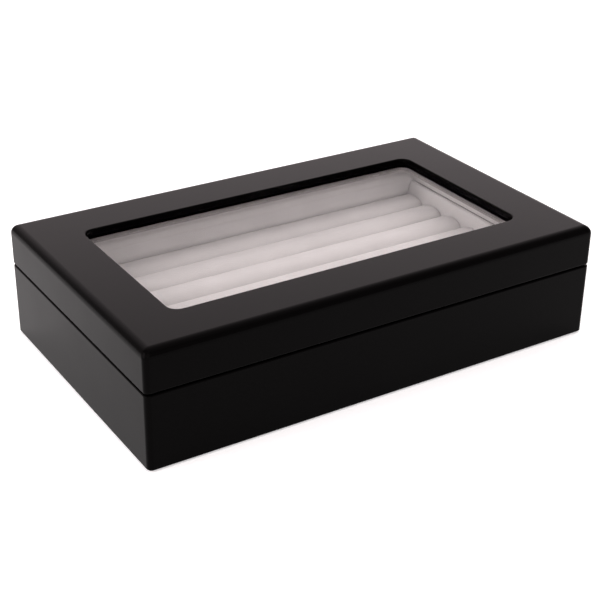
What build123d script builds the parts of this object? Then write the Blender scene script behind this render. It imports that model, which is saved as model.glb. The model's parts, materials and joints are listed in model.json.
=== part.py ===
from build123d import *

import os

# Cufflink display box: a black lacquered wooden case with seven padded rolls
# under a hinged lid that has a glass window.
#
# Frame, in millimetres: the origin is the centre of the underside, +X runs along
# the long side, +Y points to the hinge side and +Z up. The front faces -Y.

# ---- Outer case ---------------------------------------------------------------
box_length = 290.0
box_depth = 175.0
box_height = 70.0
lid_height = 24.3
seam_gap = 1.0              # open line between the base rim and the lid rim
wall_thickness = 12.0
corner_radius = 3.0         # upright corners
top_roundover = 5.0         # round the lid's top face
edge_break = 0.8            # round on both rims, bevel on the lower edge
hinge_bevel_depth = 1.0     # relief along the lid's lower edge on the hinge side
hinge_bevel_height = 4.0

# ---- Underside ----------------------------------------------------------------
felt_thickness = 0.6
felt_inset = 2.5
bottom_panel_thickness = 5.0
panel_rebate_width = 6.0
panel_clearance = 0.2

# ---- Window in the lid --------------------------------------------------------
lid_top_thickness = 10.0
window_border = 31.5
window_corner_radius = 6.5
window_edge_round = 0.8
window_lip_height = 4.0     # wood that shows above the glass
glass_thickness = 3.0
glass_rebate_width = 5.0
glass_clearance = 0.5
bead_clearance = 0.2

# ---- Cloth-covered linings ----------------------------------------------------
lining_thickness = 3.0
lining_edge_radius = 1.2
base_lining_drop = 1.0      # below the base rim
lid_lining_drop = 0.5       # above the lid rim
hinge_side_lining_gap = 0.3     # the back linings nearly meet at the hinge's level
hinge_side_edge_radius = 0.3
ceiling_thickness = 1.5
ceiling_edge_radius = 0.5
ceiling_setback = 3.0       # from the window's edge, so that the beads show

# ---- Padded rolls and the board that carries them -----------------------------
roll_count = 7
roll_gap = 0.2
roll_rim_drop = 6.9         # roll tops below the base rim
roll_flat_depth = 0.7       # flattened where a roll lies on its board
roll_end_gap = 2.0
roll_end_taper = 4.0        # bevel round each end
roll_cover_thickness = 1.0
roll_core_clearance = 0.15
roll_board_thickness = 2.0
roll_board_clearance = 0.4
bearer_count = 3
bearer_width = 12.0
bearer_end_gap = 6.0
bearer_spacing = 100.0

# ---- Lid bumpers --------------------------------------------------------------
bumper_radius = 2.5
bumper_inset = 6.0          # from the outer faces to the bumper's centre
bumper_edge_break = 0.2

# ---- Stop hinges --------------------------------------------------------------
hinge_spacing = 170.0       # between the two hinges' centres
hinge_length = 30.0
hinge_standoff = 1.2        # axis behind the back face
knuckle_count = 3
knuckle_gap = 0.15
barrel_radius = 2.2
barrel_clearance = 0.3      # between the barrel and the wood
leaf_thickness = 1.0
leaf_width = 9.0            # on the rim, from the back face inwards
leaf_gap = 0.1              # between the closed leaves
leaf_pocket_clearance = 0.1
leaf_corner_radius = 1.0
pin_radius = 0.9
pin_clearance = 0.05
pin_head_radius = 1.5
pin_head_thickness = 0.4
stop_angle = 96.0           # opening at which the two stop lips meet
stop_lip_radius = 4.0
stop_lip_width = 14.0       # degrees
stop_lip_clearance = 0.15

# ---- Hinge screws -------------------------------------------------------------
screws_per_leaf = 2
screw_spacing = 16.0
screw_length = 8.0
screw_radius = 1.0
screw_head_radius = 1.8
screw_clearance = 0.05

# ---- Levels and inner sizes that follow ---------------------------------------
lid_rim_z = box_height - lid_height
base_rim_z = lid_rim_z - seam_gap
lid_top_z = box_height - lid_top_thickness
glass_top_z = box_height - window_lip_height
glass_bottom_z = glass_top_z - glass_thickness
panel_top_z = felt_thickness + bottom_panel_thickness
ceiling_z = lid_top_z - ceiling_thickness

half_length = box_length / 2
half_depth = box_depth / 2
case_half_length = half_length - wall_thickness
case_half_depth = half_depth - wall_thickness
lined_half_length = case_half_length - lining_thickness
lined_half_depth = case_half_depth - lining_thickness
window_half_length = half_length - window_border
window_half_depth = half_depth - window_border

roll_pitch = 2 * lined_half_depth / roll_count
roll_radius = (roll_pitch - roll_gap) / 2
roll_axis_z = base_rim_z - roll_rim_drop - roll_radius
roll_seat_z = roll_axis_z - roll_radius + roll_flat_depth

hinge_axis_y = half_depth + hinge_standoff
hinge_axis_z = base_rim_z + seam_gap / 2
hinge_centres = (-hinge_spacing / 2, hinge_spacing / 2)
notch_radius = barrel_radius + barrel_clearance
cut_margin = 5.0            # how far cutting solids reach past what they cut


# ---- Shapes that several pieces use -------------------------------------------
def block(x_range, y_range, z_range):
    """Box between two limits on each axis."""
    x_low, x_high = x_range
    y_low, y_high = y_range
    z_low, z_high = z_range
    box = Box(x_high - x_low, y_high - y_low, z_high - z_low)
    return Pos((x_low + x_high) / 2, (y_low + y_high) / 2, (z_low + z_high) / 2) * box


def plate(half_x, half_y, z_low, z_high, radius=0.0):
    """Centred rectangular prism, with upright corners of the given radius."""
    prism = block((-half_x, half_x), (-half_y, half_y), (z_low, z_high))
    if radius > 0:
        prism = fillet(prism.edges().filter_by(Axis.Z), radius)
    return prism


def top_edges(solid):
    return solid.faces().sort_by(Axis.Z)[-1].edges()


def bottom_edges(solid):
    return solid.faces().sort_by(Axis.Z)[0].edges()


def x_cylinder(radius, x_low, x_high):
    return Pos((x_low + x_high) / 2, 0, 0) * Rot(0, 90, 0) * Cylinder(radius, x_high - x_low)


def split_at_mitres(ring, name):
    """Cut a ring into its front, back, left and right members at the 45 degree mitres."""
    z_low = ring.bounding_box().min.Z - cut_margin
    z_height = ring.bounding_box().size.Z + 2 * cut_margin
    far_x = half_length + cut_margin
    far_y = half_depth + cut_margin
    apex = half_length - half_depth
    sectors = {
        "front": [(-far_x, -far_y), (far_x, -far_y), (apex, 0), (-apex, 0)],
        "back": [(far_x, far_y), (-far_x, far_y), (-apex, 0), (apex, 0)],
        "left": [(-far_x, -far_y), (-apex, 0), (-far_x, far_y)],
        "right": [(far_x, far_y), (apex, 0), (far_x, -far_y)],
    }
    members = {}
    for side, corners in sectors.items():
        sector = Pos(0, 0, z_low) * extrude(Polygon(*corners, align=None), z_height)
        members[name.format(side)] = ring & sector
    return members


# ---- Base: walls, bottom panel and felt ---------------------------------------
def base_wall_ring():
    """Four walls as one ring, open at the top and rebated below for the panel."""
    ring = plate(half_length, half_depth, felt_thickness, base_rim_z, corner_radius)
    ring = fillet(top_edges(ring), edge_break)
    ring = chamfer(bottom_edges(ring), edge_break)
    ring -= plate(case_half_length, case_half_depth, 0, base_rim_z + cut_margin)
    rebate_x = case_half_length + panel_rebate_width
    rebate_y = case_half_depth + panel_rebate_width
    return ring - plate(rebate_x, rebate_y, 0, panel_top_z)


def base_walls():
    walls = split_at_mitres(base_wall_ring(), "base_{}_wall")
    for centre in hinge_centres:
        walls["base_back_wall"] -= place_on_hinge(hinge_cutter(-1), centre)
    return walls


def bottom_panel():
    half_x = case_half_length + panel_rebate_width - panel_clearance
    half_y = case_half_depth + panel_rebate_width - panel_clearance
    return plate(half_x, half_y, felt_thickness, panel_top_z)


def bottom_felt():
    return plate(half_length - felt_inset, half_depth - felt_inset, 0, felt_thickness, corner_radius)


# ---- Linings ------------------------------------------------------------------
def planar_distance(edge):
    """Distance in plan from the box's middle to the edge's middle."""
    return Vector(edge.center().X, edge.center().Y).length


def board_outlines(inner_x, inner_y):
    """X and Y limits of four boards round the case wall; the ends fit between front and back."""
    outer_x, outer_y = case_half_length, case_half_depth
    return {
        "front": ((-outer_x, outer_x), (-outer_y, -inner_y)),
        "back": ((-outer_x, outer_x), (inner_y, outer_y)),
        "left": ((-outer_x, -inner_x), (-inner_y, inner_y)),
        "right": ((inner_x, outer_x), (-inner_y, inner_y)),
    }


def lining_board(outline, free_z, fixed_z, edge_radius):
    """Board between two levels; at the free one, the edge facing the box's middle is rounded."""
    board = block(*outline, sorted((free_z, fixed_z)))
    edges = board.edges().group_by(Axis.Z)
    free_edges = edges[-1] if free_z > fixed_z else edges[0]
    return fillet(min(free_edges, key=planar_distance), edge_radius)


def wall_linings(part, free_z, fixed_z, hinge_side_z):
    """Linings of the base or the lid; the back one reaches on to its own level."""
    boards = {}
    for side, outline in board_outlines(lined_half_length, lined_half_depth).items():
        if side == "back":
            board = lining_board(outline, hinge_side_z, fixed_z, hinge_side_edge_radius)
        else:
            board = lining_board(outline, free_z, fixed_z, lining_edge_radius)
        boards[f"{part}_{side}_lining"] = board
    return boards


def base_linings():
    hinge_side_z = hinge_axis_z - hinge_side_lining_gap / 2
    return wall_linings("base", base_rim_z - base_lining_drop, panel_top_z, hinge_side_z)


def lid_linings():
    hinge_side_z = hinge_axis_z + hinge_side_lining_gap / 2
    return wall_linings("lid", lid_rim_z + lid_lining_drop, ceiling_z, hinge_side_z)


def ceiling_linings():
    """Boards under the lid's top that overlap the glazing beads."""
    outlines = board_outlines(window_half_length + ceiling_setback, window_half_depth + ceiling_setback)
    boards = {}
    for side, outline in outlines.items():
        boards[f"ceiling_{side}_lining"] = lining_board(outline, ceiling_z, lid_top_z, ceiling_edge_radius)
    return boards


# ---- Rolls and their board ----------------------------------------------------
def flatten_below(bar, inset):
    """Cut the roll's flat into a bar that lies in from the roll's surface by inset."""
    flat_z = inset - roll_radius + roll_flat_depth
    reach = roll_radius + cut_margin
    return bar & block((-half_length, half_length), (-reach, reach), (flat_z, reach))


def roll_filling(inset, half_filling):
    """Straight bar inside a roll, drawn in from the roll's surface by inset."""
    return flatten_below(x_cylinder(roll_radius - inset, -half_filling, half_filling), inset)


def roll_pieces():
    """Cloth cover with tapered, gathered ends and a closed hollow, and its foam core."""
    half_roll = lined_half_length - roll_end_gap
    half_hollow = half_roll - roll_end_taper
    cover = x_cylinder(roll_radius, -half_roll, half_roll)
    cover = chamfer(cover.edges().filter_by(GeomType.CIRCLE), roll_end_taper)
    cover = flatten_below(cover, 0) - roll_filling(roll_cover_thickness, half_hollow)
    core_inset = roll_cover_thickness + roll_core_clearance
    core = roll_filling(core_inset, half_hollow - roll_core_clearance)
    pieces = {}
    for index in range(roll_count):
        place = Pos(0, (index + 0.5) * roll_pitch - lined_half_depth, roll_axis_z)
        pieces[f"roll_{index + 1}_cover"] = place * cover
        pieces[f"roll_{index + 1}_core"] = place * core
    return pieces


def roll_board():
    half_x = lined_half_length - roll_board_clearance
    half_y = lined_half_depth - roll_board_clearance
    return plate(half_x, half_y, roll_seat_z - roll_board_thickness, roll_seat_z)


def board_bearers():
    """Battens across the bottom panel that hold the roll board up."""
    half_y = lined_half_depth - bearer_end_gap
    levels = (panel_top_z, roll_seat_z - roll_board_thickness)
    bearers = []
    for index in range(bearer_count):
        middle = (index - (bearer_count - 1) / 2) * bearer_spacing
        x_range = (middle - bearer_width / 2, middle + bearer_width / 2)
        bearers.append(block(x_range, (-half_y, half_y), levels))
    return Compound(children=bearers)


# ---- Lid: sides, top frame, glass and beads -----------------------------------
def lid_side_ring():
    ring = plate(half_length, half_depth, lid_rim_z, lid_top_z, corner_radius)
    ring = fillet(bottom_edges(ring), edge_break)
    return ring - plate(case_half_length, case_half_depth, lid_rim_z - cut_margin, lid_top_z)


def hinge_side_bevel():
    """Wedge that thins the lid's lower edge on the hinge side."""
    corners = [
        (half_depth - hinge_bevel_depth, lid_rim_z),
        (half_depth, lid_rim_z + hinge_bevel_height),
        (half_depth + cut_margin, lid_rim_z + hinge_bevel_height),
        (half_depth + cut_margin, lid_rim_z - cut_margin),
        (half_depth - hinge_bevel_depth, lid_rim_z - cut_margin),
    ]
    wedge = extrude(Plane.YZ * Polygon(*corners, align=None), half_length + cut_margin, both=True)
    return wedge


def lid_sides():
    sides = split_at_mitres(lid_side_ring() - hinge_side_bevel(), "lid_{}_side")
    for centre in hinge_centres:
        sides["lid_back_side"] -= place_on_hinge(hinge_cutter(1), centre)
    return sides


def lid_top_rails():
    """Lid top with its window and glass rebate, as four mitred rails."""
    top = plate(half_length, half_depth, lid_top_z, box_height, corner_radius)
    top = fillet(top_edges(top), top_roundover)
    opening = plate(window_half_length, window_half_depth, 0, box_height, window_corner_radius)
    top -= opening
    window_edges = top_edges(top).filter_by(inside_window)
    top = fillet(window_edges, window_edge_round)
    rebate_x = window_half_length + glass_rebate_width
    rebate_y = window_half_depth + glass_rebate_width
    top -= plate(rebate_x, rebate_y, lid_top_z - cut_margin, glass_top_z)
    return split_at_mitres(top, "lid_{}_rail")


def inside_window(edge):
    middle = edge.center()
    return abs(middle.X) < window_half_length + 1e-6 and abs(middle.Y) < window_half_depth + 1e-6


def glass_pane():
    half_x = window_half_length + glass_rebate_width - glass_clearance
    half_y = window_half_depth + glass_rebate_width - glass_clearance
    return plate(half_x, half_y, glass_bottom_z, glass_top_z)


def glazing_beads():
    """Mitred beads under the glass, flush with the window and its round corners."""
    outer_x = window_half_length + glass_rebate_width - bead_clearance
    outer_y = window_half_depth + glass_rebate_width - bead_clearance
    levels = (lid_top_z, glass_bottom_z)
    ring = plate(outer_x, outer_y, *levels)
    ring -= plate(window_half_length, window_half_depth, *levels, window_corner_radius)
    return split_at_mitres(ring, "glazing_bead_{}")


def lid_bumpers():
    """Small pads on the base rim's front corners that the closed lid rests on."""
    pads = {}
    for side, sign in (("left", -1), ("right", 1)):
        x = sign * (half_length - bumper_inset)
        y = -(half_depth - bumper_inset)
        pad = Pos(x, y, base_rim_z + seam_gap / 2) * Cylinder(bumper_radius, seam_gap)
        pads[f"front_{side}_bumper"] = chamfer(top_edges(pad), bumper_edge_break)
    return pads


# ---- Stop hinges --------------------------------------------------------------
# A hinge is drawn with its axis on the X axis, +Y pointing away from the box.
# side is -1 for the base leaf, which lies below the axis, and +1 for the lid leaf.
def place_on_hinge(shape, centre):
    return Pos(centre, hinge_axis_y, hinge_axis_z) * shape


def between(side, near, far):
    """Height range from near to far, measured from the axis towards the leaf's side."""
    return tuple(sorted((side * near, side * far)))


def knuckle_spans(side):
    """Base knuckles are the odd ones, at both ends; lid knuckles lie between them."""
    width = hinge_length / knuckle_count
    first = 0 if side < 0 else 1
    spans = []
    for index in range(first, knuckle_count, 2):
        start = index * width - hinge_length / 2
        spans.append((start + knuckle_gap / 2, start + width - knuckle_gap / 2))
    return spans


def stop_band(side, inner_radius, outer_radius, x_low, x_high):
    """Part of a tube behind the barrel, at the stop lip's angles."""
    start = stop_angle / 2 if side > 0 else -stop_angle / 2 - stop_lip_width
    outer = CenterArc((0, 0), outer_radius, start, stop_lip_width)
    inner = CenterArc((0, 0), inner_radius, start, stop_lip_width)
    outline = Curve() + [outer, inner, Line(outer @ 0, inner @ 0), Line(outer @ 1, inner @ 1)]
    return Pos(x_low, 0, 0) * extrude(Plane.YZ * make_face(outline), x_high - x_low)


def screw_places():
    """Screw positions on a leaf, along X from the hinge's centre, and their common Y."""
    y = -hinge_standoff - leaf_width / 2
    offsets = [(index - (screws_per_leaf - 1) / 2) * screw_spacing for index in range(screws_per_leaf)]
    return [(x, y) for x in offsets]


def screw_form(side, clearance):
    """Countersunk screw turned about Z, grown by clearance to make its own hole."""
    near = leaf_gap / 2
    head_end = near + screw_head_radius - screw_radius
    far = near + screw_length + clearance
    profile = [
        (0, near),
        (screw_head_radius + clearance, near),
        (screw_radius + clearance, head_end),
        (screw_radius + clearance, far),
        (0, far),
    ]
    points = [(radius, side * height) for radius, height in profile]
    return revolve(Plane.XZ * Polygon(*points, align=None), Axis.Z)


def hinge_leaf(side):
    """Leaf, its knuckles and its stop lip in one brass piece."""
    inner_y = -hinge_standoff - leaf_width
    clear_y = -notch_radius
    levels = between(side, leaf_gap / 2, leaf_gap / 2 + leaf_thickness)
    half_hinge = hinge_length / 2
    leaf = block((-half_hinge, half_hinge), (inner_y, clear_y), levels)
    inner_corners = leaf.edges().filter_by(Axis.Z).group_by(Axis.Y)[0]
    leaf = fillet(inner_corners, leaf_corner_radius)
    lip_start = barrel_radius + stop_lip_clearance
    leaf += stop_band(side, lip_start, stop_lip_radius, -half_hinge, half_hinge)
    for span in knuckle_spans(side):
        leaf += block(span, (clear_y, 0), levels)
        leaf += x_cylinder(barrel_radius, *span)
        leaf += stop_band(side, (pin_radius + barrel_radius) / 2, lip_start, *span)
    bore = pin_radius + pin_clearance
    leaf -= x_cylinder(bore, -half_hinge - cut_margin, half_hinge + cut_margin)
    for x, y in screw_places():
        leaf -= Pos(x, y, 0) * screw_form(side, screw_clearance)
    return leaf


def hinge_pin():
    """Pin with a flat head at each end."""
    half_hinge = hinge_length / 2
    pin = x_cylinder(pin_radius, -half_hinge, half_hinge)
    for end in (-1, 1):
        face_x = end * (half_hinge - knuckle_gap / 2)
        outer_x = face_x + end * pin_head_thickness
        pin += x_cylinder(pin_head_radius, min(face_x, outer_x), max(face_x, outer_x))
    return pin


def hinge_screws(side):
    screws = []
    screw = screw_form(side, 0)
    for centre in hinge_centres:
        for x, y in screw_places():
            screws.append(place_on_hinge(Pos(x, y, 0) * screw, centre))
    return Compound(children=screws)


def hinge_cutter(side):
    """Leaf pocket, barrel notch and screw holes that one hinge needs in a rim."""
    half_pocket = hinge_length / 2 + leaf_pocket_clearance
    inner_y = -hinge_standoff - leaf_width - leaf_pocket_clearance
    pocket_levels = between(side, 0, leaf_gap / 2 + leaf_thickness)
    cutter = block((-half_pocket, half_pocket), (inner_y, 0), pocket_levels)
    notch_end = hinge_length / 2 + pin_head_thickness + barrel_clearance
    cutter += x_cylinder(notch_radius, -notch_end, notch_end)
    for x, y in screw_places():
        cutter += Pos(x, y, 0) * screw_form(side, screw_clearance)
    return cutter


def hinge_pieces():
    pieces = {}
    for name, centre in zip(("left", "right"), hinge_centres):
        pieces[f"{name}_hinge_base_leaf"] = place_on_hinge(hinge_leaf(-1), centre)
        pieces[f"{name}_hinge_lid_leaf"] = place_on_hinge(hinge_leaf(1), centre)
        pieces[f"{name}_hinge_pin"] = place_on_hinge(hinge_pin(), centre)
    pieces["base_hinge_screws"] = hinge_screws(-1)
    pieces["lid_hinge_screws"] = hinge_screws(1)
    return pieces


# ---- All nodes ----------------------------------------------------------------
def all_pieces():
    pieces = {
        "bottom_felt": bottom_felt(),
        "bottom_panel": bottom_panel(),
        "roll_board": roll_board(),
        "board_bearers": board_bearers(),
        "glass_pane": glass_pane(),
    }
    groups = (
        base_walls, base_linings, roll_pieces, lid_bumpers, lid_sides, lid_top_rails,
        glazing_beads, ceiling_linings, lid_linings, hinge_pieces,
    )
    for make_group in groups:
        pieces.update(make_group())
    return pieces


os.makedirs("parts", exist_ok=True)
for node_name, shape in all_pieces().items():
    export_step(shape, f"parts/{node_name}.step")
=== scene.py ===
import json
import math

import bpy
from mathutils import Matrix, Vector, noise

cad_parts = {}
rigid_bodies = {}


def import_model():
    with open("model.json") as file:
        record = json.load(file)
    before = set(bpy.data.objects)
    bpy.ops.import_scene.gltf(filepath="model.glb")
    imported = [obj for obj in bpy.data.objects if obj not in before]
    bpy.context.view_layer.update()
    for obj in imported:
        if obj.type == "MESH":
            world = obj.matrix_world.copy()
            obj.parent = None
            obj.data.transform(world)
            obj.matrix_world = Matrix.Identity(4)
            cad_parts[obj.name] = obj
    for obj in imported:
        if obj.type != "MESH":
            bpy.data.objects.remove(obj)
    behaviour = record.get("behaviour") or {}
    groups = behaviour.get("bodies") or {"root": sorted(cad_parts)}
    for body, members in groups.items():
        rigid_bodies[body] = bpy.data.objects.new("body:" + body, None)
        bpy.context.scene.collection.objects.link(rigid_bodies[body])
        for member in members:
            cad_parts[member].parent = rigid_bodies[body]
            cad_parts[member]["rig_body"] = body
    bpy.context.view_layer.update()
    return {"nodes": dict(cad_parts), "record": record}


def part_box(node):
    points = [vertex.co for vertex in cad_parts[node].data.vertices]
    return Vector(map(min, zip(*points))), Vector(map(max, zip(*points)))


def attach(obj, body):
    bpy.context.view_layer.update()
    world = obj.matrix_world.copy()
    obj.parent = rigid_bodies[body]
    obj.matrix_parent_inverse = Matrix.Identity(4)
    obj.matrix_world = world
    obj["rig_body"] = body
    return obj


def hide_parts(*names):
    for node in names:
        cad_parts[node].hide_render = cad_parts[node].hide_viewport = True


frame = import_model()

# Cufflink display box. Lengths are in metres, angles in degrees unless a name says otherwise.
MM = 0.001

# ---- Camera: the photograph's viewpoint ---------------------------------------
CAMERA_PLACE = (-0.3803, -0.5978, 0.3885)
CAMERA_YAW = 32.38          # from +Y towards +X
CAMERA_PITCH = 27.42        # below the horizon
CAMERA_ROLL = 0.75
CAMERA_LENS = 80.49         # in the units of the sensor's width
CAMERA_SENSOR = 36.0

# ---- Studio -------------------------------------------------------------------
FLOOR_SIZE = 40.0
FLOOR_COLOUR = (0.87, 0.91, 0.90)   # its own tint nearly cancels the studio's
FLOOR_GLOW = 0.32                   # the paper is lit from below as well
STUDIO_TINT = (1.0, 0.895, 0.91)
ROOM_LIGHT = 0.6
# Soft bright screens round the box: direction, cosines between which it fades in, and light.
SCREENS = (
    ((0.45, 0.75, 0.48), (0.5, 0.95), 1.5),
    ((-0.92, -0.08, 0.38), (0.8, 0.95), 3.8),
    ((-0.2, -0.93, 0.38), (0.8, 0.95), 1.4),
    ((0.1, -0.2, 0.97), (0.8, 0.95), 0.6),
)

# ---- Soft pieces --------------------------------------------------------------
CLOTH_STEP = 5 * MM         # mesh spacing on lining boards
PAD_STEP = 1.5 * MM         # finer on the hinge side's padded linings
BEND_STEPS = 4              # mesh steps on half of a rounded edge
LINING_ROUND = 1.2 * MM
BASE_LINING_FULLNESS = 0.8 * MM     # cloth wrapped over the linings' free ends
LID_LINING_FULLNESS = 0.4 * MM
LINING_CROWN = 0.25 * MM    # padding swells the lining's middle
CROWN_SHARPNESS = 4         # power of the distance from the middle: a flat crown, full to its rim
CEILING_ROUND = 0.5 * MM
CEILING_CROWN = 0.1 * MM
CLOTH_RIPPLE = 0.08 * MM
RIPPLES_PER_METRE = 60
SAME_LEVEL = 1e-7           # points closer than this are level

# ---- The hinge side's pad, which two linings share and which leans over the last roll --
PAD_CROWN = 2.8 * MM
PAD_LEAN = 2.2                      # power of its slope: the lower half faces up the most
PAD_BELLY_ABOVE_ROLL = 0.5 * MM     # level of the fullest part
PAD_TURN = 5.5 * MM                 # height in which it turns in below that
PAD_END_TURN = 9 * MM               # length in which its lower edge climbs at each end
PAD_END_RISE = 9 * MM
PAD_ROUND = 0.1 * MM
PAD_PILE = 0.15 * MM                # pile that closes the joint between its two linings

# ---- Rolls --------------------------------------------------------------------
ROLL_COUNT = 7
ROLL_GAP = 0.02 * MM        # rolls press against each other
ROLL_SQUARENESS = 2.25      # superellipse power: flattened where rolls press together
ROLL_RINGS = 90
ROLL_SIDES = 48
ROLL_WALL_GAP = 0.3 * MM    # room that the side linings' swelling takes at each end
ROLL_END_PRESS = 2 * MM     # length of each end that lies flattened against the side lining
ROLL_END_LENGTH = 8 * MM    # rounded part, with the flattened length
ROLL_END_STEPS = 10
ROLL_GATHER_STEPS = 3       # rings on the gathered velvet in the middle of each end
ROLL_GATHER_DEPTH = 0.4 * MM
ROLL_GATHER_SHARE = 0.15    # innermost ring's share of the gathered part
ROLL_GATHER_PLEATS = 0.5    # how deep its pleats are, against those at its rim
ROLL_PLEATS = 14
ROLL_PLEAT_DEPTH = 0.3 * MM
ROLL_WAVE = 0.12 * MM       # unevenness of the foam
ROLL_WAVES_PER_METRE = 40
ROLL_WAVE_SHIFT = 7.3       # noise units between one roll's waves and the next one's

# ---- Felt ---------------------------------------------------------------------
FELT_ROUND = 0.25 * MM      # soft cut edges
FELT_STEP = 20 * MM

# ---- Noise textures: the part of their range that materials use ---------------
NOISE_LOW = 0.3
NOISE_HIGH = 0.7


def slot_nodes(slot_name):
    """CAD node names that the record gives a material slot."""
    return [s["node"] for s in frame["record"]["subparts"] if s["material_slot"] == slot_name]


# ---- Materials ----------------------------------------------------------------
def new_material(name):
    """Empty node material with its Principled shader and output."""
    material = bpy.data.materials.new(name)
    material.use_nodes = True
    nodes = material.node_tree.nodes
    shader = nodes["Principled BSDF"]
    return material, nodes, material.node_tree.links, shader


def add_noise(nodes, links, scale, detail=2.0, stretch=(1, 1, 1)):
    """Noise in the object's own coordinates; scale is in waves per metre."""
    place = nodes.new("ShaderNodeTexCoord")
    mapping = nodes.new("ShaderNodeMapping")
    mapping.inputs["Scale"].default_value = stretch
    texture = nodes.new("ShaderNodeTexNoise")
    texture.inputs["Scale"].default_value = scale
    texture.inputs["Detail"].default_value = detail
    links.new(place.outputs["Object"], mapping.inputs["Vector"])
    links.new(mapping.outputs["Vector"], texture.inputs["Vector"])
    return texture.outputs["Fac"]


def mix_colours(nodes, links, factor, low, high):
    """Colour that goes from low to high with the noise."""
    ramp = nodes.new("ShaderNodeValToRGB")
    ramp.color_ramp.elements[0].position = NOISE_LOW
    ramp.color_ramp.elements[0].color = (*low, 1)
    ramp.color_ramp.elements[1].position = NOISE_HIGH
    ramp.color_ramp.elements[1].color = (*high, 1)
    links.new(factor, ramp.inputs["Fac"])
    return ramp.outputs["Color"]


def map_value(nodes, links, factor, low, high):
    """Value that goes from low to high with the noise."""
    spread = nodes.new("ShaderNodeMapRange")
    spread.inputs["From Min"].default_value = NOISE_LOW
    spread.inputs["From Max"].default_value = NOISE_HIGH
    spread.inputs["To Min"].default_value = low
    spread.inputs["To Max"].default_value = high
    links.new(factor, spread.inputs["Value"])
    return spread.outputs["Result"]


def add_bump(nodes, links, shader, height, distance, strength=1.0):
    bump = nodes.new("ShaderNodeBump")
    bump.inputs["Distance"].default_value = distance
    bump.inputs["Strength"].default_value = strength
    links.new(height, bump.inputs["Height"])
    links.new(bump.outputs["Normal"], shader.inputs["Normal"])


def lacquer_material():
    """Black satin lacquer: faint orange peel and uneven polish."""
    material, nodes, links, shader = new_material("black_lacquer")
    shader.inputs["Base Color"].default_value = (0.0006, 0.0005, 0.0005, 1)
    shader.inputs["IOR"].default_value = 1.12
    shader.inputs["Specular Tint"].default_value = (0.55, 0.55, 0.55, 1)
    polish = add_noise(nodes, links, 35, 3)
    links.new(map_value(nodes, links, polish, 0.16, 0.24), shader.inputs["Roughness"])
    peel = add_noise(nodes, links, 420, 2)
    add_bump(nodes, links, shader, peel, 0.02 * MM, 0.35)
    return material


def matt_black_material():
    """Matt black paint on the glazing beads."""
    material, nodes, links, shader = new_material("matt_black")
    grain = add_noise(nodes, links, 900, 4)
    colour = mix_colours(nodes, links, grain, (0.17, 0.162, 0.158), (0.21, 0.20, 0.195))
    links.new(colour, shader.inputs["Base Color"])
    links.new(map_value(nodes, links, grain, 0.55, 0.75), shader.inputs["Roughness"])
    shader.inputs["IOR"].default_value = 1.3
    add_bump(nodes, links, shader, grain, 0.05 * MM, 0.4)
    return material


def velvet_material():
    """Pale grey short-pile velvet: soft nap patches, fine pile and sheen."""
    material, nodes, links, shader = new_material("grey_velvet")
    nap = add_noise(nodes, links, 45, 4)
    colour = mix_colours(nodes, links, nap, (0.56, 0.55, 0.542), (0.61, 0.60, 0.592))
    links.new(colour, shader.inputs["Base Color"])
    shader.inputs["Roughness"].default_value = 0.95
    shader.inputs["IOR"].default_value = 1.3
    shader.inputs["Sheen Weight"].default_value = 0.2
    shader.inputs["Sheen Roughness"].default_value = 0.45
    pile = add_noise(nodes, links, 1500, 2)
    add_bump(nodes, links, shader, pile, 0.05 * MM, 0.15)
    return material


def glass_material():
    material, nodes, links, shader = new_material("clear_glass")
    shader.inputs["Base Color"].default_value = (0.975, 0.985, 0.98, 1)
    shader.inputs["Transmission Weight"].default_value = 1.0
    shader.inputs["IOR"].default_value = 1.10
    smudge = add_noise(nodes, links, 18, 4)
    links.new(map_value(nodes, links, smudge, 0.0, 0.004), shader.inputs["Roughness"])
    return material


def brass_material():
    """Polished brass with fine drawn lines along the hinge."""
    material, nodes, links, shader = new_material("polished_brass")
    shader.inputs["Metallic"].default_value = 1.0
    tarnish = add_noise(nodes, links, 160, 4)
    colour = mix_colours(nodes, links, tarnish, (0.52, 0.36, 0.15), (0.64, 0.47, 0.23))
    links.new(colour, shader.inputs["Base Color"])
    links.new(map_value(nodes, links, tarnish, 0.18, 0.34), shader.inputs["Roughness"])
    lines = add_noise(nodes, links, 900, 2, stretch=(0.04, 1, 1))
    add_bump(nodes, links, shader, lines, 0.02 * MM, 0.4)
    return material


def felt_material():
    """Black pressed felt with short stray fibres."""
    material, nodes, links, shader = new_material("black_felt")
    fibre = add_noise(nodes, links, 1500, 5, stretch=(1, 0.3, 1))
    colour = mix_colours(nodes, links, fibre, (0.008, 0.008, 0.009), (0.03, 0.03, 0.032))
    links.new(colour, shader.inputs["Base Color"])
    shader.inputs["Roughness"].default_value = 1.0
    shader.inputs["Sheen Weight"].default_value = 0.3
    add_bump(nodes, links, shader, fibre, 0.2 * MM)
    return material


def plywood_material():
    """Bare sanded plywood with long grain."""
    material, nodes, links, shader = new_material("plywood")
    grain = add_noise(nodes, links, 60, 6, stretch=(0.08, 1, 1))
    colour = mix_colours(nodes, links, grain, (0.42, 0.29, 0.17), (0.62, 0.47, 0.30))
    links.new(colour, shader.inputs["Base Color"])
    shader.inputs["Roughness"].default_value = 0.7
    add_bump(nodes, links, shader, grain, 0.1 * MM, 0.5)
    return material


def foam_material():
    """Open-cell foam."""
    material, nodes, links, shader = new_material("foam")
    cells = add_noise(nodes, links, 1800, 2)
    colour = mix_colours(nodes, links, cells, (0.55, 0.53, 0.45), (0.75, 0.73, 0.65))
    links.new(colour, shader.inputs["Base Color"])
    shader.inputs["Roughness"].default_value = 1.0
    add_bump(nodes, links, shader, cells, 0.4 * MM)
    return material


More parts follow.
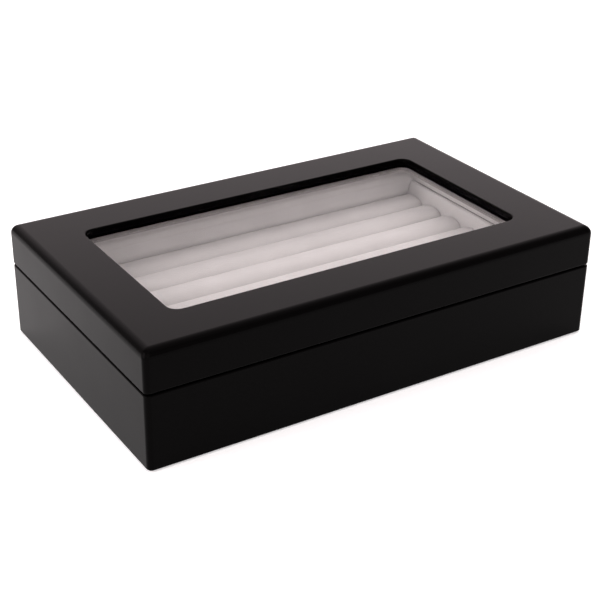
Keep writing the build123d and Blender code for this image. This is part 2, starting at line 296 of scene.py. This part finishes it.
def rubber_material():
    material, nodes, links, shader = new_material("black_rubber")
    wear = add_noise(nodes, links, 700, 3)
    colour = mix_colours(nodes, links, wear, (0.012, 0.012, 0.012), (0.03, 0.03, 0.03))
    links.new(colour, shader.inputs["Base Color"])
    links.new(map_value(nodes, links, wear, 0.45, 0.65), shader.inputs["Roughness"])
    return material


MATERIALS = {
    "black_lacquer": lacquer_material(),
    "matt_black": matt_black_material(),
    "velvet": velvet_material(),
    "glass": glass_material(),
    "brass": brass_material(),
    "felt": felt_material(),
    "plywood": plywood_material(),
    "foam": foam_material(),
    "rubber": rubber_material(),
}


def dress_cad_nodes():
    """Give every CAD node the material of its slot."""
    for slot_name, material in MATERIALS.items():
        for node in slot_nodes(slot_name):
            mesh = frame["nodes"][node].data
            mesh.materials.clear()
            mesh.materials.append(material)


# ---- Mesh helpers -------------------------------------------------------------
def new_piece(name, vertices, faces, slot_name):
    """Smooth-shaded mesh object with its slot's material."""
    mesh = bpy.data.meshes.new(name)
    mesh.from_pydata(vertices, [], faces)
    mesh.update()
    mesh.shade_smooth()
    mesh.materials.append(MATERIALS[slot_name])
    piece = bpy.data.objects.new(name, mesh)
    bpy.context.scene.collection.objects.link(piece)
    return piece


def body_of_node(node):
    return frame["nodes"][node]["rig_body"]


def lattice(low, high, radius, step):
    """Coordinates along one axis: evenly turned in the rounded ends, even steps between."""
    turns = [math.tan(math.pi / 4 * k / BEND_STEPS) for k in range(BEND_STEPS, 0, -1)]
    start = [low + radius * (1 - turn) for turn in turns]
    count = max(1, math.ceil((high - low - 2 * radius) / step))
    inner_low = low + radius
    inner_span = high - low - 2 * radius
    middle = [inner_low + inner_span * k / count for k in range(count + 1)]
    end = [low + high - value for value in reversed(start)]
    return start + middle + end


def box_surface(xs, ys, zs):
    """Vertices and faces of the lattice's outer surface."""
    last = (len(xs) - 1, len(ys) - 1, len(zs) - 1)
    index_of = {}
    vertices = []

    def vertex(key):
        if key not in index_of:
            index_of[key] = len(vertices)
            vertices.append(Vector((xs[key[0]], ys[key[1]], zs[key[2]])))
        return index_of[key]

    faces = []
    for axis in range(3):
        across, up = (axis + 1) % 3, (axis + 2) % 3
        for level in (0, last[axis]):
            for i in range(last[across]):
                for j in range(last[up]):
                    corners = []
                    for di, dj in ((0, 0), (1, 0), (1, 1), (0, 1)):
                        key = [0, 0, 0]
                        key[axis], key[across], key[up] = level, i + di, j + dj
                        corners.append(vertex(tuple(key)))
                    faces.append(corners if level else corners[::-1])
    return vertices, faces


def rounded(point, low, high, radius):
    """Move a point of the box surface onto the box with all its edges rounded."""
    inner = Vector([min(max(p, a + radius), b - radius) for p, a, b in zip(point, low, high)])
    offset = point - inner
    return inner + offset.normalized() * radius if offset.length > SAME_LEVEL else point


def swell_evenly(crown):
    """Swelling that is full in the middle of a board's face and nothing at its rim."""
    def swell(point, low, high, axis):
        share = 1.0
        for other in range(3):
            if other != axis:
                middle = (low[other] + high[other]) / 2
                half = (high[other] - low[other]) / 2
                share *= 1 - (abs(point[other] - middle) / half) ** CROWN_SHARPNESS
        return crown * share
    return swell


def quarter_turn(distance, reach):
    """1 up to a turn, then a quarter of an ellipse down to 0 at its reach."""
    share = min(max(distance / reach, 0.0), 1.0)
    return math.sqrt(1 - share ** 2)


def swell_over_roll():
    """Swelling of the hinge side's pad: fullest just above the last roll, none at the ceiling."""
    belly_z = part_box(f"roll_{ROLL_COUNT}_cover")[1].z + PAD_BELLY_ABOVE_ROLL
    top_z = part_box("lid_back_lining")[1].z
    end_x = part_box("base_right_lining")[0].x

    def swell(point, low, high, axis):
        past_turn = abs(point.x) - end_x + PAD_END_TURN
        fullest_z = belly_z + PAD_END_RISE * (1 - quarter_turn(past_turn, PAD_END_TURN))
        if point.z < fullest_z:
            share = quarter_turn(fullest_z - point.z, PAD_TURN)
        else:
            share = (1 - (point.z - fullest_z) / (top_z - fullest_z)) ** PAD_LEAN
        return PAD_CROWN * share
    return swell


def cloth_board(
    node, facing, swell, radius=LINING_ROUND, reach=(0.0, 0.0), tuck=0.0, step=CLOTH_STEP
):
    """Cloth-wrapped padded board in place of a lining node, swollen on the side that shows.

    facing is the axis that it looks along and the sign, and reach is how far it goes down
    and up past its node. Both its ends along Y may be tucked into its neighbours.
    """
    axis, towards = facing
    low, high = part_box(node)
    low -= Vector((0, tuck, reach[0]))
    high += Vector((0, tuck, reach[1]))
    xs, ys, zs = (lattice(low[k], high[k], radius, step) for k in range(3))
    surface, faces = box_surface(xs, ys, zs)
    vertices = []
    face_level = high[axis] if towards > 0 else low[axis]
    for point in surface:
        moved = rounded(point, low, high, radius)
        if abs(point[axis] - face_level) < SAME_LEVEL:
            ripple = noise.noise(point * RIPPLES_PER_METRE) * CLOTH_RIPPLE
            moved[axis] += towards * (swell(point, low, high, axis) + ripple)
        vertices.append(moved)
    piece = new_piece(node + "_cloth", vertices, faces, "velvet")
    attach(piece, body_of_node(node))
    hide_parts(node)
    return piece


def line_walls():
    """Padded lining boards of the base and the lid, each facing the middle of the box."""
    even = swell_evenly(LINING_CROWN)
    pad = swell_over_roll()
    reaches = {
        "base": ((0.0, BASE_LINING_FULLNESS), (0.0, PAD_PILE)),
        "lid": ((LID_LINING_FULLNESS, LINING_ROUND), (PAD_PILE, 0.0)),
    }
    for part, (reach, pad_reach) in reaches.items():
        cloth_board(f"{part}_front_lining", (1, 1), even, reach=reach)
        cloth_board(f"{part}_left_lining", (0, 1), even, reach=reach, tuck=LINING_ROUND)
        cloth_board(f"{part}_right_lining", (0, -1), even, reach=reach, tuck=LINING_ROUND)
        cloth_board(f"{part}_back_lining", (1, -1), pad, PAD_ROUND, pad_reach, step=PAD_STEP)
    flat = swell_evenly(CEILING_CROWN)
    for side in ("front", "back", "left", "right"):
        cloth_board(f"ceiling_{side}_lining", (2, -1), flat, CEILING_ROUND)


# ---- Rolls --------------------------------------------------------------------
def velvet_roll(number):
    """Foam roll in velvet: flat below, pressed by its neighbours, gathered at both ends."""
    cover = f"roll_{number}_cover"
    low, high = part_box(cover)
    tray_low, tray_high = roll_field()
    pitch = (tray_high - tray_low) / ROLL_COUNT
    half_width = (pitch - ROLL_GAP) / 2
    middle_y = (low.y + high.y) / 2
    radius = (high.y - low.y) / 2
    axis_z = high.z - radius
    stations = roll_stations(radius)
    vertices = []
    for x, share, pleat in stations:
        for side in range(ROLL_SIDES):
            angle = 2 * math.pi * side / ROLL_SIDES
            across, up = math.cos(angle), math.sin(angle)
            y = half_width * math.copysign(abs(across) ** (2 / ROLL_SQUARENESS), across)
            z = radius * math.copysign(abs(up) ** (2 / ROLL_SQUARENESS), up)
            place = Vector((x * ROLL_WAVES_PER_METRE, number * ROLL_WAVE_SHIFT, angle))
            wave = noise.noise(place) * ROLL_WAVE
            fold = pleat * ROLL_PLEAT_DEPTH * math.cos(ROLL_PLEATS * angle)
            scale = share + (min(wave, 0.0) + fold) / radius
            z_level = max(axis_z + z * scale, low.z)
            vertices.append(Vector((x, middle_y + y * scale, z_level)))
    faces = tube_faces(len(stations), ROLL_SIDES)
    piece = new_piece(f"roll_{number}_velvet", vertices, faces, "velvet")
    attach(piece, body_of_node(cover))
    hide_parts(cover)
    return piece


def roll_field():
    """Inner faces of the front and back linings, between which the rolls lie."""
    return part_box("base_front_lining")[1].y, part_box("base_back_lining")[0].y


def roll_stations(radius):
    """Rings along a roll: place, share of the full radius, and how deep its pleats are."""
    wall_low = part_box("base_left_lining")[1].x + ROLL_WALL_GAP
    wall_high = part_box("base_right_lining")[0].x - ROLL_WALL_GAP
    x_low, x_high = wall_low - ROLL_END_PRESS, wall_high + ROLL_END_PRESS
    flat_share = 1 - ROLL_END_LENGTH / radius
    stations = []
    for step in range(ROLL_GATHER_STEPS):
        outward = step / ROLL_GATHER_STEPS
        share = flat_share * (ROLL_GATHER_SHARE + (1 - ROLL_GATHER_SHARE) * outward)
        x = x_low + ROLL_GATHER_DEPTH * (1 - outward)
        stations.append((x, share, ROLL_GATHER_PLEATS * outward))
    for step in range(1, ROLL_END_STEPS + 1):
        angle = math.pi / 2 * step / ROLL_END_STEPS
        x = x_low + ROLL_END_LENGTH * (1 - math.cos(angle))
        share = flat_share + (1 - flat_share) * math.sin(angle)
        stations.append((x, share, math.cos(angle)))
    start, end = x_low + ROLL_END_LENGTH, x_high - ROLL_END_LENGTH
    middle = [(start + (end - start) * k / ROLL_RINGS, 1.0, 0.0) for k in range(1, ROLL_RINGS)]
    mirrored = [(x_low + x_high - x, share, pleat) for x, share, pleat in reversed(stations)]
    rings = stations + middle + mirrored
    return [(min(max(x, wall_low), wall_high), share, pleat) for x, share, pleat in rings]


def tube_faces(rings, sides):
    """Quads between neighbouring rings, closed by one cap at each end."""
    faces = [list(range(sides))[::-1]]
    for ring in range(rings - 1):
        for side in range(sides):
            a = ring * sides + side
            b = ring * sides + (side + 1) % sides
            faces.append([a, b, b + sides, a + sides])
    last = (rings - 1) * sides
    faces.append([last + side for side in range(sides)])
    return faces


# ---- Felt ---------------------------------------------------------------------
def felt_sheet():
    """Felt glued under the box, with soft cut edges."""
    low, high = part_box("bottom_felt")
    xs, ys, zs = (lattice(low[k], high[k], FELT_ROUND, FELT_STEP) for k in range(3))
    surface, faces = box_surface(xs, ys, zs)
    vertices = [rounded(point, low, high, FELT_ROUND) for point in surface]
    piece = new_piece("felt_sheet", vertices, faces, "felt")
    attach(piece, body_of_node("bottom_felt"))
    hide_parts("bottom_felt")
    return piece


# ---- Camera and studio --------------------------------------------------------
def add_camera():
    data = bpy.data.cameras.new("camera")
    data.lens = CAMERA_LENS
    data.sensor_width = CAMERA_SENSOR
    camera = bpy.data.objects.new("camera", data)
    turn = Matrix.Rotation(-math.radians(CAMERA_YAW), 4, "Z")
    tilt = Matrix.Rotation(math.pi / 2 - math.radians(CAMERA_PITCH), 4, "X")
    roll = Matrix.Rotation(math.radians(CAMERA_ROLL), 4, "Z")
    camera.matrix_world = Matrix.Translation(CAMERA_PLACE) @ turn @ tilt @ roll
    bpy.context.scene.collection.objects.link(camera)
    bpy.context.scene.camera = camera


def add_floor():
    half = FLOOR_SIZE / 2
    corners = [(-half, -half, 0), (half, -half, 0), (half, half, 0), (-half, half, 0)]
    mesh = bpy.data.meshes.new("studio_floor")
    mesh.from_pydata(corners, [], [(0, 1, 2, 3)])
    material, nodes, links, shader = new_material("floor_paper")
    shader.inputs["Base Color"].default_value = (*FLOOR_COLOUR, 1)
    shader.inputs["Roughness"].default_value = 0.9
    shader.inputs["Emission Color"].default_value = (1, 1, 1, 1)
    shader.inputs["Emission Strength"].default_value = FLOOR_GLOW
    mesh.materials.append(material)
    floor = bpy.data.objects.new("studio_floor", mesh)
    bpy.context.scene.collection.objects.link(floor)


def add_screen(nodes, links, direction, edge, light):
    """Light that one soft screen adds, as a socket."""
    look = nodes.new("ShaderNodeTexCoord")
    towards = nodes.new("ShaderNodeVectorMath")
    towards.operation = "DOT_PRODUCT"
    towards.inputs[1].default_value = Vector(direction).normalized()
    links.new(look.outputs["Generated"], towards.inputs[0])
    strength = nodes.new("ShaderNodeMapRange")
    strength.interpolation_type = "SMOOTHSTEP"
    strength.inputs["From Min"].default_value = edge[0]
    strength.inputs["From Max"].default_value = edge[1]
    strength.inputs["To Max"].default_value = light
    links.new(towards.outputs["Value"], strength.inputs["Value"])
    return strength.outputs["Result"]


def light_studio():
    """Dim room with bright screens, all of it in the world's background."""
    world = bpy.data.worlds.new("studio")
    world.use_nodes = True
    nodes, links = world.node_tree.nodes, world.node_tree.links
    total = nodes.new("ShaderNodeValue")
    total.outputs[0].default_value = ROOM_LIGHT
    light = total.outputs[0]
    for direction, edge, strength in SCREENS:
        added = nodes.new("ShaderNodeMath")
        links.new(light, added.inputs[0])
        links.new(add_screen(nodes, links, direction, edge, strength), added.inputs[1])
        light = added.outputs[0]
    links.new(light, nodes["Background"].inputs["Strength"])
    nodes["Background"].inputs["Color"].default_value = (*STUDIO_TINT, 1)
    bpy.context.scene.world = world
    bpy.context.scene.view_settings.view_transform = "Standard"


add_camera()
add_floor()
light_studio()
dress_cad_nodes()
line_walls()
for roll_number in range(1, ROLL_COUNT + 1):
    velvet_roll(roll_number)
felt_sheet()
